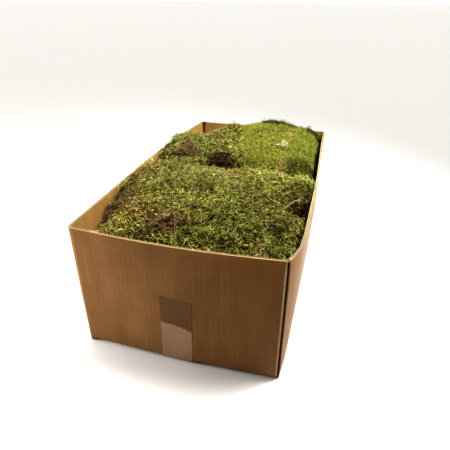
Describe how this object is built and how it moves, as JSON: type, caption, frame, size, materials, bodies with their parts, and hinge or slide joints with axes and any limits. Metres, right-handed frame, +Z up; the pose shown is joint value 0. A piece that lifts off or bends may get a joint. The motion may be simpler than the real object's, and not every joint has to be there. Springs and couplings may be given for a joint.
{
  "type": "moss clump in carton",
  "caption": "Clump of sheet moss, packed in the open corrugated carton that holds it, swelling over the rim.",
  "frame": {"origin": "middle of the footprint's bounding box, on the surface the carton stands on", "axes": "+Y along the carton's long side, away from the taped front panel; +X to the right as seen from that panel; +Z up"},
  "size_m": [0.3324, 0.6126, 0.2326],
  "materials": {
    "board": "matt brown kraft liner, raw fluted edges",
    "tape_film": "clear film, brownish where it has bonded and milky where it has not",
    "olive_moss": "stringy olive and yellow-green shoots with dark gaps",
    "brown_moss": "looser shoots, browner and partly dead",
    "bright_moss": "dense fine bright green pile",
    "bark": "rough dark bark",
    "dry_leaf": "dry crumpled pale leaf",
    "dead_wood": "dry barked twig"
  },
  "bodies": {
    "root": {"carton": "board", "packing_tape": "tape_film", "front_mat": "olive_moss", "back_left_mat": "brown_moss", "back_right_cushion": "bright_moss", "bark_chip": "bark", "leaf_scrap": "dry_leaf", "twig": "dead_wood"}
  },
  "joints": []
}
